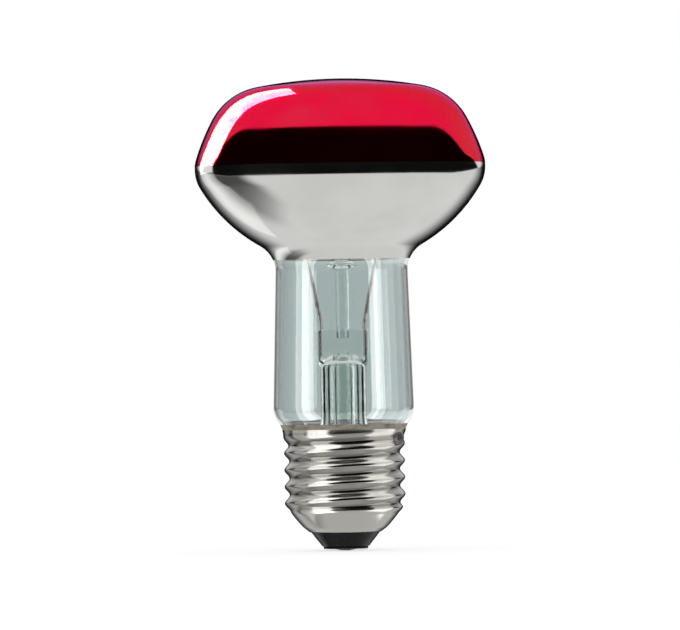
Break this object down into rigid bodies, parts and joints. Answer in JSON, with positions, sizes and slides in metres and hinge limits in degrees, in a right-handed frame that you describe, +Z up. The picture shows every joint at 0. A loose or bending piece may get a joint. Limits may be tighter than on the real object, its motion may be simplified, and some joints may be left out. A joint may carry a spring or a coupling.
{
  "type": "reflector bulb",
  "caption": "Reflector bulb: wide head with a crimson lacquered dome over a mirrored cone, clear neck and an E27 screw cap.",
  "frame": {"origin": "lowest point of the centre contact's solder drop, on the bulb's axis", "axes": "+Z up the axis from the cap to the dome; -Y is the side the picture shows; the inner leads lie along X"},
  "size_m": [0.063, 0.063, 0.1023],
  "materials": {
    "clear_glass": "clear, smooth blown glass with a faint green tint",
    "stem_glass": "clear pressed and drawn glass",
    "black_glass": "black cast glass",
    "mirror_film": "vacuum-deposited aluminium",
    "red_lacquer": "glossy crimson lacquer",
    "cap_metal": "rolled sheet, bright",
    "contact_metal": "stamped sheet, dulled",
    "solder": "cast drop, satin",
    "cement": "baked tan cement, matt",
    "nickel_wire": "drawn wire",
    "copper_wire": "drawn copper wire",
    "seal_wire": "copper-clad wire, red in the glass",
    "hot_wire": "drawn refractory wire"
  },
  "bodies": {
    "root": {"glass_envelope": "clear_glass", "mirror_coating": "mirror_film", "red_lacquer": "red_lacquer", "stem_flare": "stem_glass", "exhaust_tube": "stem_glass", "arbor_rod": "stem_glass", "inner_lead_left": "nickel_wire", "inner_lead_right": "nickel_wire", "press_seal_left": "seal_wire", "press_seal_right": "seal_wire", "centre_lead_upper": "copper_wire", "centre_lead_lower": "copper_wire", "side_lead": "copper_wire", "fuse_link": "stem_glass", "support_wire_1": "hot_wire", "support_wire_2": "hot_wire", "support_wire_3": "hot_wire", "filament": "hot_wire", "screw_shell": "cap_metal", "cap_insulator": "black_glass", "contact_plate": "contact_metal", "centre_solder": "solder", "side_solder": "solder", "cap_cement": "cement"}
  },
  "joints": []
}
